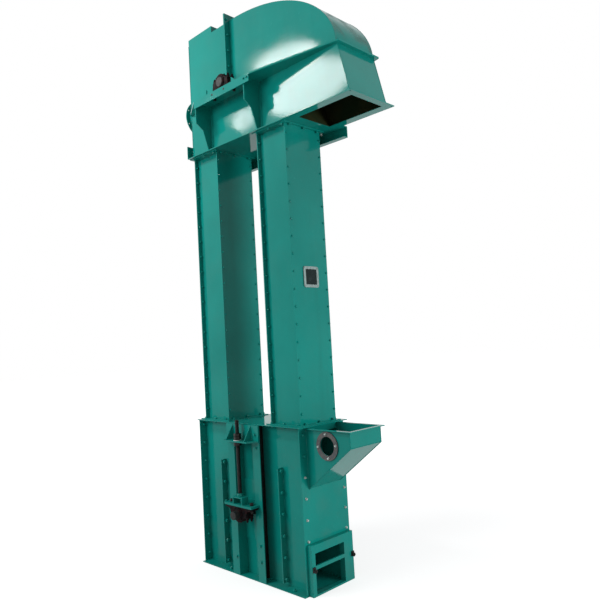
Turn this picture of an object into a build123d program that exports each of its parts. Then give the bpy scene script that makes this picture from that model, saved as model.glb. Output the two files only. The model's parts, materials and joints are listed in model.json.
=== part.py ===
from build123d import *
from math import atan2, cos, degrees, pi, radians, sin, tan
import os

# Two-leg belt bucket elevator, in millimetres, standing on the floor.
# Origin: middle of the boot's footprint, on the floor. +X towards the inlet and the outlet,
# -Y towards the front, where the take-up screw shows, and +Z up.

# Plate thicknesses
sheet = 4.0
flange_plate = 6.0
heavy_plate = 8.0

# Belt run
pulley_radius = 290.0
pulley_face = 230.0
pulley_rim = 10.0
pulley_disc = 8.0
pulley_disc_inset = 40.0
belt_gap = 0.3
belt_thickness = 8.0
belt_width = 220.0
belt_back_gap = 46.3
bucket_width = 200.0
bucket_reach = 138.0
bucket_height = 120.0
bucket_wall = 3.0
bucket_base_share = 0.55
bucket_nose_share = 0.62
bucket_lip_share = 0.78
bucket_count = 26
bucket_floor_gap = 31.0
bucket_roof_gap = 74.0
bucket_end_gap = 90.0

# Legs
leg_width = 300.0
leg_web_depth = 300.0
leg_length = 2124.0
leg_lip = 30.0
leg_flange_reach = 25.0

# Boot
boot_end_step = 25.0
boot_web_depth = 330.0
boot_lip = 62.0
boot_height = 1110.0
boot_floor_side_reach = 23.0
boot_top_left_reach = 5.0
boot_top_right_reach = 30.0
boot_top_side_reach = 75.0
rib_offset = 320.0
rib_top_gap = 294.0
rib_reach = 50.0
rib_foot_gap = 25.0

# Head casing
head_height = 366.0
head_depth = 388.0
head_flange_reach = 35.0
outlet_gap = 120.0
outlet_length = 480.0
outlet_depth = 320.0
outlet_end_rim = 18.0
outlet_start_rim = 50.0
outlet_slant = 88.0
toe_height = 100.0
chute_gap = 8.0
chute_rise = 260.0

# Hood over the head pulley
hood_lid_rise = 54.0
hood_lid_length = 310.0
hood_arc_drop = 20.0
joint_flange_reach = 46.0
joint_flange_gap = 10.0

# Shafts and bearings
running_gap = 0.05
shaft_hole_gap = 7.0
bearing_foot = 16.0
hub_length = 30.0
hub_wall = 25.0
head_shaft_radius = 35.0
head_bearing_rise = 70.0
head_bearing_length = 290.0
head_bearing_width = 72.0
head_bearing_housing = 64.0
head_shaft_stub = 10.0
head_shaft_neck = 59.0
drive_end_radius = 30.0
drive_end_length = 105.0
tail_shaft_radius = 30.0
tail_bearing_rise = 54.0
tail_bearing_length = 290.0
tail_bearing_width = 70.0
tail_bearing_housing = 60.0
tail_shaft_stub = 50.0

# Bearing shelves and split flange on the head
split_plate = 12.0
split_corner_reach = 15.0
shelf_left = -290.0
shelf_right = 371.0
shelf_reach = 152.0
shelf_lip = 60.0
shelf_bearing_reach = 76.0
gusset_left = -280.0
gusset_right = 305.0
gusset_straight = 171.0
gusset_step = 46.0
gusset_step_reach = 82.0
gusset_foot_reach = 35.0

# Take-up
take_up_travel = 150.0
guide_inner = 105.0
guide_outer = 180.0
guide_reach = 85.0
bracket_height = 119.0
bracket_plate = 10.0
bracket_nose = 30.0
bracket_front_half = 130.0
bracket_back_half = 178.0
bracket_gusset_offset = 105.0
screw_reach = 50.0
screw_radius = 15.0
screw_hole_gap = 2.0
screw_rise = 30.0
hanger_inset = 98.0
hanger_height = 52.0
slide_clearance = 0.3
slide_plate_margin = 30.0
carrier_half_length = 150.0
carrier_plate = 16.0
tail_bearing_reach = 40.0

# Inlet hopper
hopper_width = 316.0
hopper_reach = 390.0
hopper_end_height = 110.0
hopper_depth = 408.0
hopper_top_gap = 6.0
hopper_rim_reach = 22.0
inlet_top_gap = 40.0
port_reach = 192.0
port_drop = 106.0
port_radius = 62.5
port_flange_radius = 94.0
port_flange_plate = 8.0

# Cleanout frame
cleanout_height = 332.0
cleanout_reach = 40.0
cleanout_width = 418.0
cleanout_front_post = 33.0
cleanout_rear_post = 94.0
cleanout_top = 55.0
cleanout_sill = 12.0
cleanout_bar_bottom = 172.0
cleanout_bar_top = 196.0
cleanout_bar_depth = 14.0
clamp_size = 22.0
clamp_inset = 2.0

# Sight window
window_size = 150.0
window_border = 20.0
window_rise = 1030.0
window_corner = 18.0
window_frame_plate = 8.0
window_glass_plate = 5.0

# Vent on the left end of the head
vent_radius = 135.0
vent_flange_radius = 165.0
vent_rise = 34.0
vent_length = 122.0
vent_bolt_circle = 300.0
vent_bolt_radius = 5.5
vent_bolt_count = 8

# Beam behind the head
beam_half_length = 735.0
beam_height = 84.0
beam_width = 44.0
beam_gap = 0.3

# Outlet bolt holes
outlet_bolt_radius = 7.0
outlet_bolt_edge = 15.0

# Belt line and legs
belt_inner_radius = pulley_radius + belt_gap
belt_outer_radius = belt_inner_radius + belt_thickness
leg_inner = belt_inner_radius - belt_back_gap - sheet
leg_outer = leg_inner + leg_width
leg_centre = leg_inner + leg_width / 2
leg_face = leg_web_depth / 2
leg_edge = leg_face + leg_lip

# Boot and take-up
boot_end = leg_outer + boot_end_step
boot_face = boot_web_depth / 2
boot_edge = boot_face + boot_lip
boot_plate_top = boot_height - flange_plate
rib_height = boot_plate_top - rib_top_gap
tail_height = flange_plate + bucket_floor_gap + bucket_reach + belt_outer_radius
guide_depth = boot_face + guide_reach
bracket_bottom = boot_plate_top - bracket_height
screw_offset = guide_depth + screw_reach
screw_top = boot_height + screw_rise
bracket_reach = screw_offset + bracket_nose
tail_bearing_offset = guide_depth + tail_bearing_reach
tail_shaft_end = tail_bearing_offset + tail_bearing_width / 2 + tail_shaft_stub
slide_half_length = guide_inner - slide_clearance
slide_front = boot_face + slide_clearance + flange_plate
slide_plate_reach = take_up_travel + tail_shaft_radius + shaft_hole_gap + slide_plate_margin
carrier_bottom = tail_height + tail_bearing_rise
carrier_top = carrier_bottom + carrier_plate
hanger_half_length = carrier_half_length - hanger_inset

# Hopper and cleanout
hopper_half = hopper_width / 2
hopper_end = boot_end + hopper_reach
hopper_top = boot_plate_top - hopper_top_gap
hopper_knee = hopper_top - hopper_end_height
hopper_foot = hopper_top - hopper_depth
port_x = boot_end + port_reach
port_z = hopper_top - port_drop
cleanout_edge = cleanout_width / 2
cleanout_front = cleanout_front_post - cleanout_edge
cleanout_rear = cleanout_edge - cleanout_rear_post
cleanout_face = boot_end + cleanout_reach
cleanout_lintel = cleanout_height - cleanout_top

# Head and hood
base_plate_bottom = boot_height + leg_length
head_bottom = base_plate_bottom + flange_plate
head_split = head_bottom + head_height
head_left = belt_outer_radius + bucket_reach + bucket_end_gap + sheet
head_face = head_depth / 2
head_flange_edge = head_face + head_flange_reach
outlet_start = leg_outer + outlet_gap
outlet_end = outlet_start + outlet_length
outlet_end_bottom = outlet_end + outlet_end_rim
outlet_end_top = outlet_end_bottom - outlet_slant
split_bottom = head_split - split_plate
split_corner = head_face + split_corner_reach
shelf_edge = head_face + shelf_reach
head_shaft_height = head_split + head_bearing_rise
head_bearing_offset = head_face + shelf_bearing_reach
head_shaft_front = head_bearing_offset + head_bearing_width / 2 + head_shaft_stub
head_shaft_rear = head_bearing_offset + head_bearing_width / 2 + head_shaft_neck
hood_top = head_shaft_height + belt_outer_radius + bucket_reach + bucket_roof_gap
hood_outline_top = hood_top + sheet
hood_arc_height = hood_outline_top - head_split + hood_arc_drop
window_height = boot_height + window_rise
vent_height = head_split + vent_rise
beam_front = head_flange_edge + beam_gap


def block(x_low, x_high, y_low, y_high, z_low, z_high):
    size = Box(x_high - x_low, y_high - y_low, z_high - z_low)
    return Pos((x_low + x_high) / 2, (y_low + y_high) / 2, (z_low + z_high) / 2) * size


def rod_y(x, y_low, y_high, z, radius):
    # Round bar along Y
    return Pos(x, (y_low + y_high) / 2, z) * Rot(90, 0, 0) * Cylinder(radius, y_high - y_low)


def rod_x(x_low, x_high, y, z, radius):
    # Round bar along X
    return Pos((x_low + x_high) / 2, y, z) * Rot(0, 90, 0) * Cylinder(radius, x_high - x_low)


def rod_z(x, y, z_low, z_high, radius):
    # Round bar along Z
    return Pos(x, y, (z_low + z_high) / 2) * Cylinder(radius, z_high - z_low)


def plate_xz(points, y_low, y_high):
    # Flat plate from an outline in X and Z
    outline = make_face(Polyline(*[(x, y_low, z) for x, z in points], close=True))
    return extrude(outline, amount=y_high - y_low, dir=(0, 1, 0))


def plate_xy(points, z_low, z_high):
    # Flat plate from an outline in X and Y
    outline = make_face(Polyline(*[(x, y, z_low) for x, y in points], close=True))
    return extrude(outline, amount=z_high - z_low, dir=(0, 0, 1))


def plate_yz(points, x_low, x_high):
    # Flat plate from an outline in Y and Z
    outline = make_face(Polyline(*[(x_low, y, z) for y, z in points], close=True))
    return extrude(outline, amount=x_high - x_low, dir=(1, 0, 0))


def across(shape):
    # The same piece on the rear side, mirrored through the middle plane
    return mirror(shape, about=Plane.XZ)


def save(name, *solids):
    shape = solids[0] if len(solids) == 1 else Compound(children=list(solids))
    export_step(shape, os.path.join("parts", name + ".step"))


os.makedirs("parts", exist_ok=True)


# Boot casing
def boot_floor_plate():
    # Base plate that the walls stand on
    side = boot_edge + boot_floor_side_reach
    return block(-boot_end, boot_end, -side, side, 0, flange_plate)


def boot_left_end_plate():
    return block(-boot_end, -boot_end + sheet, -boot_edge, boot_edge, flange_plate, boot_plate_top)


def boot_right_end_plate():
    plate = block(boot_end - sheet, boot_end, -boot_edge, boot_edge, flange_plate, boot_plate_top)
    inlet = block(boot_end - 2 * sheet, boot_end + sheet, -hopper_half + sheet, hopper_half - sheet,
                  hopper_foot + sheet, hopper_top - inlet_top_gap)
    cleanout = block(boot_end - 2 * sheet, boot_end + sheet, -boot_face + sheet, cleanout_rear,
                     cleanout_sill, cleanout_lintel)
    return plate - inlet - cleanout


def boot_front_plate():
    # The slot lets the tail shaft rise with the take-up
    plate = block(-boot_end + sheet, boot_end - sheet, -boot_face, -boot_face + sheet,
                  flange_plate, boot_plate_top)
    half = tail_shaft_radius + shaft_hole_gap
    slot = block(-half, half, -boot_face - 1, -boot_face + sheet + 1,
                 tail_height - half, tail_height + take_up_travel + half)
    return plate - slot


def boot_edge_lips():
    # Lips folded outwards from the front and rear plates, against the end plates
    lip = block(boot_end - 2 * sheet, boot_end - sheet, -boot_edge, -boot_face, flange_plate, boot_plate_top)
    left = mirror(lip, about=Plane.YZ)
    return [lip, left, across(lip), across(left)]


def boot_panel_ribs():
    # Bolted upright joints of the lower panels, which stop above the base flange
    rib = block(rib_offset - sheet, rib_offset + sheet, -boot_face - rib_reach, -boot_face,
                flange_plate + rib_foot_gap, rib_height)
    left = mirror(rib, about=Plane.YZ)
    return [rib, left, across(rib), across(left)]


def boot_top_plate():
    side = boot_face + boot_top_side_reach
    plate = block(-boot_end - boot_top_left_reach, boot_end + boot_top_right_reach, -side, side,
                  boot_plate_top, boot_height)
    for x in (-leg_centre, leg_centre):
        half = leg_width / 2 - sheet
        hole = block(x - half, x + half, -leg_face + sheet, leg_face - sheet,
                     boot_plate_top - 1, boot_height + 1)
        plate -= hole
    return plate


# Take-up
def take_up_guides():
    # Angles: the carriage slides between their webs and in front of their faces
    low = flange_plate
    front = -guide_depth + flange_plate
    web = block(guide_inner, guide_inner + flange_plate, -guide_depth, -boot_face, low, boot_plate_top)
    face = block(guide_inner, guide_outer, -guide_depth, front, low, boot_plate_top)
    guide = web + face
    left = mirror(guide, about=Plane.YZ)
    return [guide, left, across(guide), across(left)]


def take_up_brackets():
    # Plate on the guides' faces, tapered shelf for the screw and two gussets
    front = -guide_depth - heavy_plate
    shelf_top = bracket_bottom + bracket_plate
    back = block(-guide_outer, guide_outer, front, -guide_depth, bracket_bottom, boot_plate_top)
    outline = [(-bracket_back_half, front), (-bracket_front_half, -bracket_reach),
               (bracket_front_half, -bracket_reach), (bracket_back_half, front)]
    bracket = back + plate_xy(outline, bracket_bottom, shelf_top)
    corner = [(front, shelf_top), (-bracket_reach, shelf_top), (front, boot_plate_top)]
    for x in (-bracket_gusset_offset, bracket_gusset_offset - flange_plate):
        bracket += plate_yz(corner, x, x + flange_plate)
    bracket -= rod_z(0, -screw_offset, bracket_bottom - 1, shelf_top + 1, screw_radius + screw_hole_gap)
    return [bracket, across(bracket)]


def take_up_carriages():
    # Slide plate over the slot, T-shaped carrier plate for the bearing and hanger for the screw
    slide = block(-slide_half_length, slide_half_length, -slide_front, -boot_face - slide_clearance,
                  tail_height - slide_plate_reach, tail_height + slide_plate_reach)
    slide -= rod_y(0, -slide_front - 1, -boot_face + 1, tail_height, tail_shaft_radius + shaft_hole_gap)
    shoulder = -guide_depth - slide_clearance
    carrier = block(-carrier_half_length, carrier_half_length, -bracket_reach, shoulder,
                    carrier_bottom, carrier_top)
    carrier += block(-slide_half_length, slide_half_length, shoulder, -slide_front,
                     carrier_bottom, carrier_top)
    hanger_rear = screw_offset - bracket_nose
    hanger_top = carrier_top + hanger_height
    hanger = block(-hanger_half_length, hanger_half_length, -bracket_reach, -hanger_rear,
                   carrier_top, hanger_top)
    inner = hanger_half_length - heavy_plate
    hanger -= block(-inner, inner, -bracket_reach - 1, -hanger_rear + 1,
                    carrier_top - 1, hanger_top - heavy_plate)
    carriage = slide + carrier + hanger
    corner = [(-slide_front, carrier_top), (-hanger_rear, carrier_top), (-slide_front, hanger_top)]
    for x in (-slide_half_length, slide_half_length - flange_plate):
        carriage += plate_yz(corner, x, x + flange_plate)
    return [carriage, across(carriage)]


def take_up_screws():
    screw = rod_z(0, -screw_offset, carrier_top + hanger_height, screw_top, screw_radius)
    return [screw, across(screw)]


def pillow_block(length, width, rise, housing, bore):
    # Bearing housing on its feet, shaft along Y through the origin, feet below
    feet = block(-length / 2, length / 2, -width / 2, width / 2, -rise, -rise + bearing_foot)
    shoulder = block(-housing * 0.9, housing * 0.9, -width / 2, width / 2, -rise, 0)
    body = rod_y(0, -width / 2, width / 2, 0, housing)
    block_shape = feet + shoulder + body
    block_shape -= block(-length, length, -width, width, -2 * rise - housing, -rise)
    block_shape -= rod_y(0, -width, width, 0, bore)
    return block_shape


def tail_bearings():
    # Hung upside down under the carrier plates
    housing = pillow_block(tail_bearing_length, tail_bearing_width, tail_bearing_rise,
                           tail_bearing_housing, tail_shaft_radius + running_gap)
    hung = Pos(0, -tail_bearing_offset, tail_height) * Rot(0, 180, 0) * housing
    return [hung, across(hung)]


def pulley(centre_z, shaft_radius):
    # Hollow drum on two discs, each with a hub on the shaft
    half = pulley_face / 2
    drum = rod_y(0, -half, half, centre_z, pulley_radius)
    drum -= rod_y(0, -half - 1, half + 1, centre_z, pulley_radius - pulley_rim)
    for side in (-1, 1):
        y = side * (half - pulley_disc_inset)
        drum += rod_y(0, y - pulley_disc / 2, y + pulley_disc / 2, centre_z, pulley_radius - pulley_rim / 2)
        drum += rod_y(0, y - hub_length / 2, y + hub_length / 2, centre_z, shaft_radius + hub_wall)
    drum -= rod_y(0, -half - 1, half + 1, centre_z, shaft_radius)
    return drum


def tail_shaft():
    return rod_y(0, -tail_shaft_end, tail_shaft_end, tail_height, tail_shaft_radius)


def head_shaft():
    shaft = rod_y(0, -head_shaft_front, head_shaft_rear, head_shaft_height, head_shaft_radius)
    end = rod_y(0, head_shaft_rear, head_shaft_rear + drive_end_length, head_shaft_height, drive_end_radius)
    return shaft + end


# Belt and buckets
def loop_solid(radius, width):
    # Solid inside a belt line of the given radius round both shafts
    half = width / 2
    ends = rod_y(0, -half, half, tail_height, radius) + rod_y(0, -half, half, head_shaft_height, radius)
    return ends + block(-radius, radius, -half, half, tail_height, head_shaft_height)


def belt():
    return loop_solid(belt_outer_radius, belt_width) - loop_solid(belt_inner_radius, belt_width + 2)


def bucket():
    # Open cup with its back on the plane x = 0 and its mouth up, centred on z = 0
    half = bucket_width / 2
    base_reach = bucket_reach * bucket_base_share
    nose = bucket_height * bucket_nose_share
    lip = bucket_height * bucket_lip_share
    outline = [(0, 0), (base_reach, 0), (bucket_reach, nose), (bucket_reach, lip), (0, bucket_height)]
    rim = bucket_height + bucket_wall
    inside = [(bucket_wall, bucket_wall), (base_reach - bucket_wall / 2, bucket_wall),
              (bucket_reach - bucket_wall, nose + bucket_wall / 2), (bucket_reach - bucket_wall, rim),
              (bucket_wall, rim)]
    cup = plate_xz(outline, -half, half) - plate_xz(inside, -half + bucket_wall, half - bucket_wall)
    return Pos(0, 0, -bucket_height / 2) * cup


def bucket_places():
    # Angle about Y, and place of each bucket's back, at equal steps along the belt's outer face
    straight = head_shaft_height - tail_height
    arc = pi * belt_outer_radius
    whole = 2 * straight + 2 * arc
    places = []
    for index in range(bucket_count):
        run = (index + 0.5) * whole / bucket_count
        if run < straight:
            places.append((180.0, -belt_outer_radius, tail_height + run))
        elif run < straight + arc:
            turn = (run - straight) / belt_outer_radius
            places.append((180.0 - degrees(turn), -belt_outer_radius * cos(turn),
                           head_shaft_height + belt_outer_radius * sin(turn)))
        elif run < 2 * straight + arc:
            places.append((0.0, belt_outer_radius, head_shaft_height - (run - straight - arc)))
        else:
            turn = (run - 2 * straight - arc) / belt_outer_radius
            places.append((-degrees(turn), belt_outer_radius * cos(turn),
                           tail_height - belt_outer_radius * sin(turn)))
    return places


def buckets():
    # On the right leg, going down, the mouths face down
    cup = mirror(bucket(), about=Plane.XY)
    return [Pos(x, 0, z) * Rot(0, -angle, 0) * cup for angle, x, z in bucket_places()]


# Inlet hopper
def hopper_side_plates():
    outline = [(boot_end, hopper_foot), (hopper_end, hopper_knee), (hopper_end, hopper_top),
               (boot_end, hopper_top)]
    front = plate_xz(outline, -hopper_half, -hopper_half + sheet)
    front -= rod_y(port_x, -hopper_half - 1, -hopper_half + sheet + 1, port_z, port_radius)
    rear = plate_xz(outline, hopper_half - sheet, hopper_half)
    return [front, rear]


def hopper_end_plate():
    return block(hopper_end - sheet, hopper_end, -hopper_half + sheet, hopper_half - sheet,
                 hopper_knee, hopper_top)


def hopper_slope_plate():
    slope = atan2(hopper_knee - hopper_foot, hopper_end - boot_end)
    rise = sheet / cos(slope)
    outline = [(boot_end, hopper_foot), (hopper_end - sheet, hopper_knee - sheet * tan(slope)),
               (hopper_end - sheet, hopper_knee - sheet * tan(slope) + rise), (boot_end, hopper_foot + rise)]
    return plate_xz(outline, -hopper_half + sheet, hopper_half - sheet)


def hopper_rim():
    # Flange round the hopper's open top
    reach = hopper_rim_reach
    outer = block(boot_end, hopper_end + reach, -hopper_half - reach, hopper_half + reach,
                  hopper_top - flange_plate, hopper_top)
    inner = block(boot_end - 1, hopper_end, -hopper_half, hopper_half,
                  hopper_top - flange_plate - 1, hopper_top + 1)
    return outer - inner


def port_flange():
    y = -hopper_half - port_flange_plate
    ring = rod_y(port_x, y, -hopper_half, port_z, port_flange_radius)
    return ring - rod_y(port_x, y - 1, -hopper_half + 1, port_z, port_radius)


# Cleanout
def cleanout_frame():
    outer = block(boot_end, cleanout_face, -cleanout_edge, cleanout_edge, 0, cleanout_height)
    inner = block(boot_end - 1, cleanout_face + 1, cleanout_front, cleanout_rear,
                  cleanout_sill, cleanout_lintel)
    return outer - inner


def cleanout_bar():
    return block(cleanout_face - cleanout_bar_depth, cleanout_face, cleanout_front, cleanout_rear,
                 cleanout_bar_bottom, cleanout_bar_top)


def cleanout_clamps():
    front = clamp_inset - cleanout_edge
    clamp = block(cleanout_face, cleanout_face + clamp_size / 2, front, front + clamp_size,
                  cleanout_bar_bottom - clamp_size / 2, cleanout_bar_bottom + clamp_size)
    return [clamp, across(clamp)]


# Legs
def leg_side_plate(x):
    # Flat plate whose edges stand out past the front and rear plates
    return block(x, x + sheet, -leg_edge, leg_edge, boot_height, base_plate_bottom)


def leg_face_plates(centre):
    half = leg_width / 2 - sheet
    front = block(centre - half, centre + half, -leg_face, -leg_face + sheet, boot_height, base_plate_bottom)
    return [front, across(front)]


def leg_lips(centre):
    half = leg_width / 2 - sheet
    lips = []
    for x in (centre - half, centre + half - sheet):
        lip = block(x, x + sheet, -leg_edge, -leg_face, boot_height, base_plate_bottom)
        lips += [lip, across(lip)]
    return lips


def leg_flanges(centre):
    # Angle rings where a leg meets the boot and the head
    half = leg_width / 2
    reach = leg_flange_reach
    rings = []
    for z in (boot_height, base_plate_bottom - flange_plate):
        ring = block(centre - half - reach, centre + half + reach, -leg_edge - reach, leg_edge + reach,
                     z, z + flange_plate)
        ring -= block(centre - half + sheet, centre + half - sheet, -leg_face, leg_face,
                      z - 1, z + flange_plate + 1)
        for x in (centre - half, centre + half - 2 * sheet):
            ring -= block(x, x + 2 * sheet, -leg_edge, leg_edge, z - 1, z + flange_plate + 1)
        rings.append(ring)
    return rings


def window_side_plate():
    plate = leg_side_plate(leg_outer - sheet)
    half = window_size / 2 - window_border
    return plate - block(leg_outer - 2 * sheet, leg_outer + 1, -half, half,
                         window_height - half, window_height + half)


def window_ring(half_outer, half_inner, x_low, x_high):
    side = Plane.YZ.offset(x_low)
    outline = RectangleRounded(2 * half_outer, 2 * half_outer, window_corner)
    outer = extrude(side * Pos(0, window_height) * outline, amount=x_high - x_low)
    inner = block(x_low - 1, x_high + 1, -half_inner, half_inner,
                  window_height - half_inner, window_height + half_inner)
    return outer - inner


def window_frame():
    # The glass sits behind the ring in a recess as deep as the glass
    half = window_size / 2
    x = leg_outer
    ring = window_ring(half, half - window_border, x, x + window_frame_plate)
    recess = half - window_border / 2
    return ring - block(x - 1, x + window_glass_plate, -recess, recess,
                        window_height - recess, window_height + recess)


def window_glass():
    half = window_size / 2 - window_border / 2
    return block(leg_outer, leg_outer + window_glass_plate, -half, half,
                 window_height - half, window_height + half)


# Head casing
def head_base_plate():
    edge = head_flange_edge
    plate = block(-head_left - head_flange_reach, outlet_start - outlet_start_rim, -edge, edge,
                  base_plate_bottom, head_bottom)
    for centre in (-leg_centre, leg_centre):
        half = leg_width / 2 - sheet
        plate -= block(centre - half, centre + half, -leg_face + sheet, leg_face - sheet,
                       base_plate_bottom - 1, head_bottom + 1)
    return plate


def outlet_flange():
    edge = head_flange_edge
    start = outlet_start - outlet_start_rim
    end = outlet_end_bottom + head_flange_reach
    ring = block(start, end, -edge, edge, base_plate_bottom, head_bottom)
    ring -= block(outlet_start, outlet_end, -outlet_depth / 2, outlet_depth / 2,
                  base_plate_bottom - 1, head_bottom + 1)
    for x in (start + outlet_bolt_edge, end - outlet_bolt_edge):
        for y in (-edge + outlet_bolt_edge, edge - outlet_bolt_edge):
            ring -= rod_z(x, y, base_plate_bottom - 1, head_bottom + 1, outlet_bolt_radius)
    return ring


def head_face_plates():
    outline = [(-head_left + sheet, head_bottom), (outlet_end_bottom, head_bottom),
               (outlet_end_top, head_split), (-head_left + sheet, head_split)]
    front = plate_xz(outline, -head_face, -head_face + sheet)
    return [front, across(front)]


def head_left_end_plate():
    plate = block(-head_left, -head_left + sheet, -head_face, head_face, head_bottom, hood_top)
    return plate - rod_x(-head_left - 1, -head_left + sheet + 1, 0, vent_height, vent_radius - sheet)


def head_toe_plate():
    # Upstand of the angle along the bottom of the left end
    x = -head_left - head_flange_reach
    return block(x, x + flange_plate, -head_flange_edge, head_flange_edge,
                 head_bottom, head_bottom + toe_height)


def discharge_plate():
    outline = [(outlet_end_bottom, head_bottom), (outlet_end_top, head_split),
               (outlet_end_top - sheet, head_split), (outlet_end_bottom - sheet, head_bottom)]
    return plate_xz(outline, -head_face + sheet, head_face - sheet)


def discharge_chute():
    # Sloping plate from the edge of the leg down to the outlet
    top = head_bottom + chute_rise
    chute_start = leg_outer + chute_gap
    outline = [(outlet_start, head_bottom), (outlet_start - sheet, head_bottom),
               (chute_start - sheet, top), (chute_start, top)]
    return plate_xz(outline, -head_face + sheet, head_face - sheet)


def split_flange():
    # Bolted flange under the hood, tapered from the shelves' ends to the casing's corners
    end = outlet_end_top + head_flange_reach
    slant = outlet_slant * split_plate / head_height
    right = [(shelf_right, -shelf_edge), (end, -split_corner), (end, split_corner), (shelf_right, shelf_edge)]
    hole = [(shelf_right - 1, split_bottom), (outlet_end_top + slant, split_bottom),
            (outlet_end_top, head_split), (shelf_right - 1, head_split)]
    ring = plate_xy(right, split_bottom, head_split) - plate_xz(hole, -head_face, head_face)
    left = [(-head_left, -head_face), (-head_left, -split_corner), (shelf_left, -shelf_edge),
            (shelf_left, -head_face)]
    wedge = plate_xy(left, split_bottom, head_split)
    return [ring, wedge, across(wedge)]


def bearing_shelves():
    plate = block(shelf_left, shelf_right, -shelf_edge, -head_face, split_bottom, head_split)
    lip = block(shelf_left, shelf_right, -shelf_edge, -shelf_edge + heavy_plate,
                head_split - shelf_lip, split_bottom)
    shelf = plate + lip
    return [shelf, across(shelf)]


def shelf_gussets():
    outer = -shelf_edge + heavy_plate
    step_top = head_split - gusset_straight
    outline = [(-head_face, head_bottom), (-head_face - gusset_foot_reach, head_bottom),
               (-head_face - gusset_step_reach, step_top - gusset_step), (outer, step_top),
               (outer, split_bottom), (-head_face, split_bottom)]
    gussets = []
    for x in (gusset_left, gusset_right):
        plate = plate_yz(outline, x - heavy_plate / 2, x + heavy_plate / 2)
        gussets += [plate, across(plate)]
    return gussets


def head_bearings():
    housing = pillow_block(head_bearing_length, head_bearing_width, head_bearing_rise,
                           head_bearing_housing, head_shaft_radius + running_gap)
    front = Pos(0, -head_bearing_offset, head_shaft_height) * housing
    return [front, across(front)]


# Hood
def shaft_hole(y_low, y_high):
    return rod_y(0, y_low, y_high, head_shaft_height, head_shaft_radius + shaft_hole_gap)


def hood_box_plates():
    front = block(-head_left + sheet, 0, -head_face, -head_face + sheet, head_split, hood_top)
    front -= shaft_hole(-head_face - 1, -head_face + sheet + 1)
    return [front, across(front)]


def hood_box_roof():
    return block(-head_left, 0, -head_face, head_face, hood_top, hood_outline_top)


def hood_lid():
    # Shallow pressed lid, open below, standing on the roof
    low = hood_outline_top
    high = low + hood_lid_rise
    right = -head_left + hood_lid_length
    lid = block(-head_left, right, -head_face, head_face, low, high)
    return lid - block(-head_left + sheet, right - sheet, -head_face + sheet, head_face - sheet,
                       low - 1, high - sheet)


def hood_joint_flange():
    # Bolted flange pair across the hood, over the front, roof and rear
    low = head_shaft_height + head_bearing_housing + joint_flange_gap
    edge = head_face + joint_flange_reach
    ring = block(-flange_plate, flange_plate, -edge, edge, low, hood_outline_top + joint_flange_reach)
    return ring - block(-flange_plate - 1, flange_plate + 1, -head_face, head_face, low - 1, hood_outline_top)


def cap_solid(inset, x_low, y_low, y_high):
    # Space above the split and under the cap's curve, which is a quarter of an ellipse
    centre = hood_outline_top - hood_arc_height
    side = Plane(origin=(0, y_low, centre), x_dir=(1, 0, 0), z_dir=(0, -1, 0))
    curve = side * Ellipse(outlet_end_top - inset, hood_arc_height - inset)
    drum = extrude(curve, amount=y_high - y_low, dir=(0, 1, 0))
    return drum & block(x_low, outlet_end_top, y_low, y_high, head_split, hood_outline_top)


def hood_cap_plates():
    front = cap_solid(0, 0, -head_face, -head_face + sheet)
    front -= shaft_hole(-head_face - 1, -head_face + sheet + 1)
    return [front, across(front)]


def hood_cap_sheet():
    inner = head_face - sheet
    outer = cap_solid(0, 0, -inner, inner)
    return outer - cap_solid(sheet, -sheet, -inner - 1, inner + 1)


# Vent and beam
def head_vent():
    end = -head_left - vent_length
    tube = rod_x(end, -head_left, 0, vent_height, vent_radius)
    tube += rod_x(end, end + heavy_plate, 0, vent_height, vent_flange_radius)
    tube -= rod_x(end - 1, -head_left + 1, 0, vent_height, vent_radius - sheet)
    for index in range(vent_bolt_count):
        turn = radians(360 / vent_bolt_count * (index + 0.5))
        y = vent_bolt_circle / 2 * cos(turn)
        z = vent_height + vent_bolt_circle / 2 * sin(turn)
        tube -= rod_x(end - 1, end + heavy_plate + 1, y, z, vent_bolt_radius)
    return tube


def rear_beam():
    # Channel along the rear edge of the base plate, open towards the front
    y = beam_front
    low = head_bottom - beam_height
    outer = block(-beam_half_length, beam_half_length, y, y + beam_width, low, head_bottom)
    inner = block(-beam_half_length - 1, beam_half_length + 1, y - 1, y + beam_width - flange_plate,
                  low + flange_plate, base_plate_bottom)
    return outer - inner


save("boot_floor_plate", boot_floor_plate())
save("boot_left_end_plate", boot_left_end_plate())
save("boot_right_end_plate", boot_right_end_plate())
save("boot_front_plate", boot_front_plate())
save("boot_rear_plate", across(boot_front_plate()))
save("boot_edge_lips", *boot_edge_lips())
save("boot_panel_ribs", *boot_panel_ribs())
save("boot_top_plate", boot_top_plate())
save("take_up_guides", *take_up_guides())
save("take_up_brackets", *take_up_brackets())
save("take_up_carriages", *take_up_carriages())
save("take_up_screws", *take_up_screws())
save("tail_bearings", *tail_bearings())
save("tail_shaft", tail_shaft())
save("tail_pulley", pulley(tail_height, tail_shaft_radius))
save("hopper_side_plates", *hopper_side_plates())
save("hopper_end_plate", hopper_end_plate())
save("hopper_slope_plate", hopper_slope_plate())
save("hopper_rim", hopper_rim())
save("port_flange", port_flange())
save("cleanout_frame", cleanout_frame())
save("cleanout_bar", cleanout_bar())
save("cleanout_clamps", *cleanout_clamps())
save("leg_side_plates", leg_side_plate(-leg_outer), leg_side_plate(-leg_inner - sheet),
     leg_side_plate(leg_inner))
save("window_side_plate", window_side_plate())
save("leg_face_plates", *leg_face_plates(-leg_centre), *leg_face_plates(leg_centre))
save("leg_lips", *leg_lips(-leg_centre), *leg_lips(leg_centre))
save("leg_flanges", *leg_flanges(-leg_centre), *leg_flanges(leg_centre))
save("window_frame", window_frame())
save("window_glass", window_glass())
save("head_base_plate", head_base_plate())
save("outlet_flange", outlet_flange())
save("head_face_plates", *head_face_plates())
save("head_left_end_plate", head_left_end_plate())
save("head_toe_plate", head_toe_plate())
save("discharge_plate", discharge_plate())
save("discharge_chute", discharge_chute())
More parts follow.
